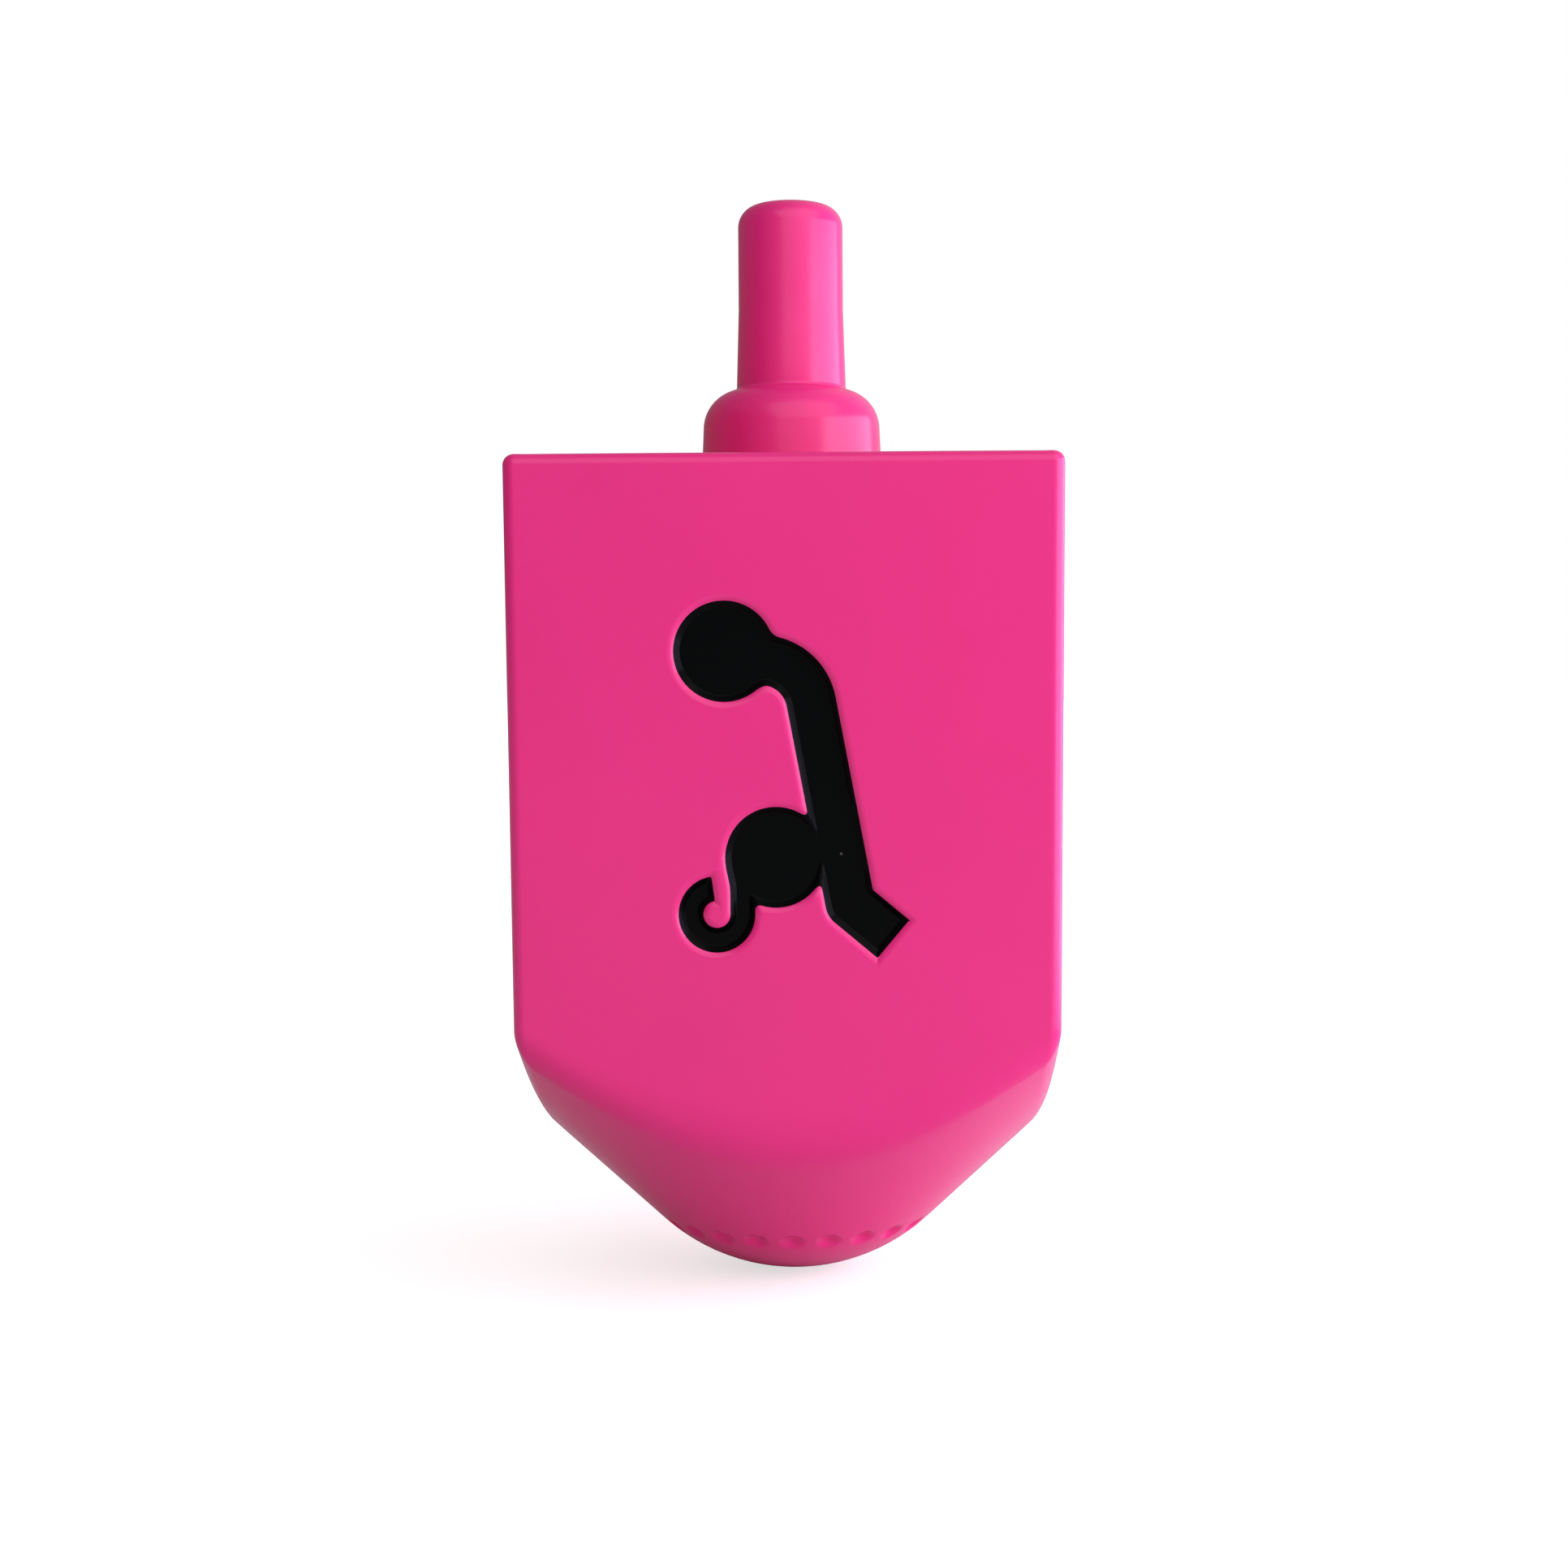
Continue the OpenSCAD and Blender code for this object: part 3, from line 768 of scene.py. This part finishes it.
def capShell():  # plate, skirt and socket, as one closed round of rows
    c, top = capForm, bodyForm["height"]
    plateZ, skirtZ, socketZ = capLevels()
    turns = columnTurns(c["columns"])
    out = outwardOf(turns)
    axis = out * 0
    plate = squareLoop(turns, c["plate"] / 2, c["corner"])
    outside, inside = [], []
    for z in (plateZ, skirtZ):
        half = halfAt(z) - c["skirtInset"]
        outside.append(squareLoop(turns, half, c["skirtCorner"]))
        inside.append(squareLoop(turns, half - c["skirtThick"], c["skirtInnerCorner"]))
    e, k, steps = c["socketEdge"], c["skirtEdge"], c["edgeRows"]
    rows = [ringRow(axis, out, c["bore"], socketZ, (-1, 0), (0, -1))]
    rows += arcRows(axis, out, c["socketRadius"] - e, socketZ + e, e, -90, 0, steps)
    rows += arcRows(axis, out, c["socketRadius"] + e, plateZ - e, e, 180, 90, steps, hollow=True)
    rows.append(ringRow(*inside[0], 0.0, plateZ, (0, -1), (-1, 0)))
    rows.append(ringRow(*inside[1], 0.0, skirtZ, (-1, 0), (0, -1)))
    rows += arcRows(*outside[1], -k, skirtZ + k, k, -90, 0, steps)
    rows.append(ringRow(*outside[0], 0.0, plateZ, (1, 0), (0, -1)))
    rows.append(ringRow(*plate, 0.0, plateZ, (0, -1), (1, 0)))
    rows += arcRows(*plate, -c["edge"], top - c["edge"], c["edge"], 0, 90, c["plateRows"])
    rows.append(ringRow(axis, out, c["bore"], top, (0, 1), (-1, 0)))
    return skin(rows, closed=True)


def capBraces():  # four webs between the socket and the skirt
    c, plateZ = capForm, capLevels()[0]
    half, bevel = c["braceThick"] / 2, c["braceChamfer"]
    low, high = plateZ - c["braceHeight"], plateZ + c["bracePlateSink"]
    near = c["socketRadius"] - c["braceSocketSink"]
    far = halfAt(plateZ) - c["skirtInset"] - c["skirtThick"] / 2
    section = [(-half, high), (-half, low + bevel), (-half + bevel, low),
               (half - bevel, low), (half, low + bevel), (half, high)]
    return [flatBlock(*[[(x * r - y * s, y * r + x * s, z) for s, z in section] for r in (near, far)])
            for x, y in quarterTurns]


def capGrips():  # two upright beads on each side of the skirt
    c, r = capForm, capForm["gripRadius"]
    plateZ, skirtZ, _ = capLevels()
    low, high = skirtZ + c["gripLift"], plateZ + c["gripSink"]
    out = outwardOf(np.arange(c["gripColumns"]) * 360 / c["gripColumns"])
    inward = halfAt(skirtZ) - c["skirtInset"] + c["gripOut"] - r
    beads = []
    for x, y in quarterTurns:
        for shift in (-c["gripPitch"] / 2, c["gripPitch"] / 2):
            middle = (shift * x + inward * y, shift * y - inward * x)
            base = np.tile(middle, (c["gripColumns"], 1))
            rows = arcRows(base, out, 0.0, low + r, r, c["gripStart"], 0, c["gripRows"])
            rows.append(ringRow(base, out, r, high, (1, 0)))
            beads.append(skin(rows, ((*middle, low), (0, 0, -1)), ((*middle, high), (0, 0, 1))))
    return beads


capShape = joined([capShell(), *capBraces(), *capGrips()])
makePiece("dreidelCap", capShape, pinkPlastic, "cap", "pink_plastic", "top_cap")


# Stem: finger grip, collar and the spigot in the cap's socket

stemForm = {
    "height": 18.6, "grip": 7.24, "root": 7.56, "gripLength": 7.2, "gripBlend": 1.2, "endRound": 1.5,
    "collar": 12.5, "collarDraft": 2.5, "collarSide": 3.3, "shoulder": 2.7, "rootEase": 0.3,
    "spigot": 7.0, "spigotLength": 10.0, "spigotChamfer": 0.6, "core": 3.4, "coreCover": 4.0,
    "columns": 208, "shoulderRows": 22, "easeRows": 8, "taperRows": 5, "endRows": 18,
}


def buildStem():
    s = stemForm
    foot = bodyForm["height"]
    out = outwardOf(np.arange(s["columns"]) * 360 / s["columns"])
    axis = out * 0
    d = s["collarDraft"] * deg
    top, low, core = foot + s["height"], foot - s["spigotLength"], s["core"] / 2
    coreZ, spigot = top - s["coreCover"], s["spigot"] / 2
    side = s["collar"] / 2 - s["collarSide"] * math.tan(d)
    pivot = (side - s["shoulder"] * math.cos(d), foot + s["collarSide"] - s["shoulder"] * math.sin(d))
    root, grip, ease = s["root"] / 2, s["grip"] / 2, s["rootEase"]
    hollowR = root + ease  # fillet between the shoulder and the stem's root
    hollowZ = pivot[1] + math.sqrt((s["shoulder"] + ease) ** 2 - (hollowR - pivot[0]) ** 2)
    meet = math.degrees(math.atan2(hollowZ - pivot[1], hollowR - pivot[0]))
    gripZ = top - s["gripLength"]
    lean = math.atan2(root - grip, gripZ - hollowZ)
    slant = (math.sqrt(0.5), -math.sqrt(0.5))

    def row(r, z, below, above=None):
        return ringRow(axis, out, r, z, below, above)

    rows = [row(core, coreZ, (0, -1), (-1, 0)), row(core, low, (-1, 0), (0, -1)),
            row(spigot - s["spigotChamfer"], low, (0, -1), slant),
            row(spigot, low + s["spigotChamfer"], slant, (1, 0)), row(spigot, foot, (1, 0), (0, -1)),
            row(s["collar"] / 2, foot, (0, -1), (math.cos(d), math.sin(d)))]
    rows += arcRows(axis, out, *pivot, s["shoulder"], s["collarDraft"], meet, s["shoulderRows"])
    rows += arcRows(axis, out, hollowR, hollowZ, ease, meet + 180, 180, s["easeRows"], hollow=True)[1:]
    for share in np.arange(1, s["taperRows"]) / s["taperRows"]:
        r, z = root + (grip - root) * share, hollowZ + (gripZ - hollowZ) * share
        rows.append(row(r, z, (math.cos(lean), math.sin(lean))))
    rows.append(row(grip, gripZ, (math.cos(lean / 2), math.sin(lean / 2))))
    rows.append(row(grip, gripZ + s["gripBlend"], (1, 0)))
    end = s["endRound"]
    rows += arcRows(axis, out, grip - end, top - end, end, 0, 90, s["endRows"])
    return skin(rows, ((0, 0, coreZ), (0, 0, -1)), ((0, 0, top), (0, 0, 1)))


makePiece("dreidelStem", buildStem(), pinkPlastic, "cap", "pink_plastic", "stem")


# Stage, light and camera, in metres

floorSet = {  # each reach is a near and a far distance from the tip, with the levels there
    "size": 6.0, "drop": 0.0001, "color": (0.70, 0.69, 0.68, 1),
    "glowReach": (0.12, 0.5), "glowLevel": (0.65, 1.0),
    "glossyReach": (0.05, 0.14), "glossyLevel": (0.0, 0.2),
}
lampSet = {
    "window": {"power": 0.26, "color": (0.74, 0.70, 1.0), "size": (0.226, 0.10),
               "place": (0.125, -0.026, 0.051), "aim": (0, -0.026, 0.051)},
    "top": {"power": 0.49, "color": (1.0, 0.97, 0.95), "size": (0.5, 0.3),
            "place": (0.09, -0.22, 0.24), "aim": (0, 0, 0.04)},
}
roomSet = {  # each spread is a range of directions along X or Y, with the levels at its two ends
    "wallSpread": (-0.90, -0.82), "wallLevel": (0.12, 1.0),
    "frontSpread": (-0.85, 0.6), "frontLevel": (0.08, 0.66),
    "backSpread": (-0.5, 0.6), "backLevel": (0.12, 0.62),
    "turnSpread": (-0.3, 0.1), "behindSpread": (0.3, 0.9), "behindLevel": (0.0, 0.75),
    "glossyShare": 0.05,
}
cameraSet = {  # millimetres right, ahead and up from the rim's middle; focus, picture and centre in pixels
    "place": (3.064, -155.934, -18.299), "yaw": -0.722, "pitch": 1.716, "roll": -0.345,
    "focus": 2761.0, "picture": 1932.0, "centre": (1030.0, 910.0), "sensor": 36.0, "clip": (0.01, 20.0),
}
white = (1, 1, 1, 1)


def seenLevel(path, work, glossyShare):  # full for the camera and through glass, a share of it in reflections
    seen = work("MAXIMUM", path["Is Camera Ray"], path["Is Transmission Ray"])
    return work("MULTIPLY_ADD", path["Is Glossy Ray"], glossyShare, seen)


def makeFloor():
    s = floorSet["size"] / 2
    mesh = bpy.data.meshes.new("paleFloor")
    mesh.from_pydata([(-s, -s, 0), (s, -s, 0), (s, s, 0), (-s, s, 0)], [], [(0, 1, 2, 3)])
    floor = bpy.data.objects.new("paleFloor", mesh)
    floor.location.z = -floorSet["drop"]
    bpy.context.scene.collection.objects.link(floor)
    material = bpy.data.materials.new("paleFloor")
    material.use_nodes = True
    add, link, work, ranged = nodeSet(material.node_tree)
    path = add("ShaderNodeLightPath").outputs
    length = add("ShaderNodeVectorMath", operation="LENGTH")
    link(add("ShaderNodeTexCoord").outputs["Object"], length.inputs[0])
    distance = length.outputs["Value"]
    glossy = ranged(distance, floorSet["glossyReach"], floorSet["glossyLevel"])
    fade = ranged(distance, floorSet["glowReach"], floorSet["glowLevel"])  # the shadow fades into plain white
    glow = add("ShaderNodeEmission")
    link(work("MULTIPLY", fade, seenLevel(path, work, glossy)), glow.inputs["Strength"])
    matte = add("ShaderNodeBsdfDiffuse", Color=floorSet["color"])
    both = add("ShaderNodeAddShader")
    link(glow.outputs["Emission"], both.inputs[0])
    link(matte.outputs["BSDF"], both.inputs[1])
    link(both.outputs["Shader"], add("ShaderNodeOutputMaterial").inputs["Surface"])
    mesh.materials.append(material)


def makeLamp(name, form):
    lamp = bpy.data.lights.new(name, "AREA")
    lamp.shape = "RECTANGLE"
    lamp.size, lamp.size_y = form["size"]
    lamp.energy = form["power"]
    lamp.color = form["color"]
    holder = bpy.data.objects.new(name, lamp)
    holder.location = form["place"]
    holder.rotation_mode = "QUATERNION"
    holder.rotation_quaternion = (Vector(form["aim"]) - holder.location).to_track_quat("-Z", "Y")
    holder.visible_camera = False  # the lamps stand close, so the camera doesn't see them
    bpy.context.scene.collection.objects.link(holder)


def makeRoom():  # a dim room for light and reflections, white for the camera
    world = bpy.data.worlds.new("whiteRoom")
    bpy.context.scene.world = world
    world.use_nodes = True
    add, link, work, ranged = nodeSet(world.node_tree)
    split = add("ShaderNodeSeparateXYZ")
    link(add("ShaderNodeTexCoord").outputs["Generated"], split.inputs["Vector"])
    x, y = split.outputs["X"], split.outputs["Y"]
    r, soft = roomSet, "SMOOTHSTEP"
    wall = ranged(x, r["wallSpread"], r["wallLevel"], soft)  # the room is dark beyond its left wall
    front = work("MULTIPLY", wall, ranged(x, r["frontSpread"], r["frontLevel"]))
    level = add("ShaderNodeMix", data_type="FLOAT")
    link(ranged(y, r["turnSpread"], (0.0, 1.0), soft), level.inputs[0])
    link(front, level.inputs[2])
    link(ranged(x, r["backSpread"], r["backLevel"], soft), level.inputs[3])
    path = add("ShaderNodeLightPath").outputs
    dull = work("SUBTRACT", 1.0, path["Is Glossy Ray"])
    behind = ranged(y, r["behindSpread"], r["behindLevel"], soft)  # soft light that makes no reflections
    room = add("ShaderNodeBackground", Color=white)
    link(work("MULTIPLY_ADD", behind, dull, level.outputs[0]), room.inputs["Strength"])
    plain = add("ShaderNodeBackground", Color=white)
    pick = add("ShaderNodeMixShader")
    link(seenLevel(path, work, r["glossyShare"]), pick.inputs[0])
    link(room.outputs["Background"], pick.inputs[1])
    link(plain.outputs["Background"], pick.inputs[2])
    link(pick.outputs["Shader"], add("ShaderNodeOutputWorld").inputs["Surface"])


def makeCamera():
    c = cameraSet
    turned = Matrix.Identity(3)
    for key, axis in (("roll", "Y"), ("pitch", "X"), ("yaw", "Z")):
        turned = turned @ Matrix.Rotation(c[key] * deg, 3, axis)
    back = turned.transposed()
    lens = bpy.data.cameras.new("photoCamera")
    lens.sensor_width = c["sensor"]
    lens.lens = c["sensor"] * c["focus"] / c["picture"]
    lens.shift_x = (c["picture"] / 2 - c["centre"][0]) / c["picture"]
    lens.shift_y = (c["centre"][1] - c["picture"] / 2) / c["picture"]
    lens.clip_start, lens.clip_end = c["clip"]
    camera = bpy.data.objects.new("photoCamera", lens)
    right, ahead, up = (back @ Vector(v) for v in ((1, 0, 0), (0, 1, 0), (0, 0, 1)))
    place = (back @ Vector(c["place"]) + Vector((0, 0, bodyForm["height"]))) * mm
    spin = Matrix((right, up, -ahead)).transposed().to_4x4()
    camera.matrix_world = Matrix.Translation(place) @ spin
    bpy.context.scene.collection.objects.link(camera)
    bpy.context.scene.camera = camera


makeFloor()
for lampName, lampForm in lampSet.items():
    makeLamp(lampName, lampForm)
makeRoom()
makeCamera()
bpy.context.scene.view_settings.view_transform = "Standard"
print("stage, light and camera set")
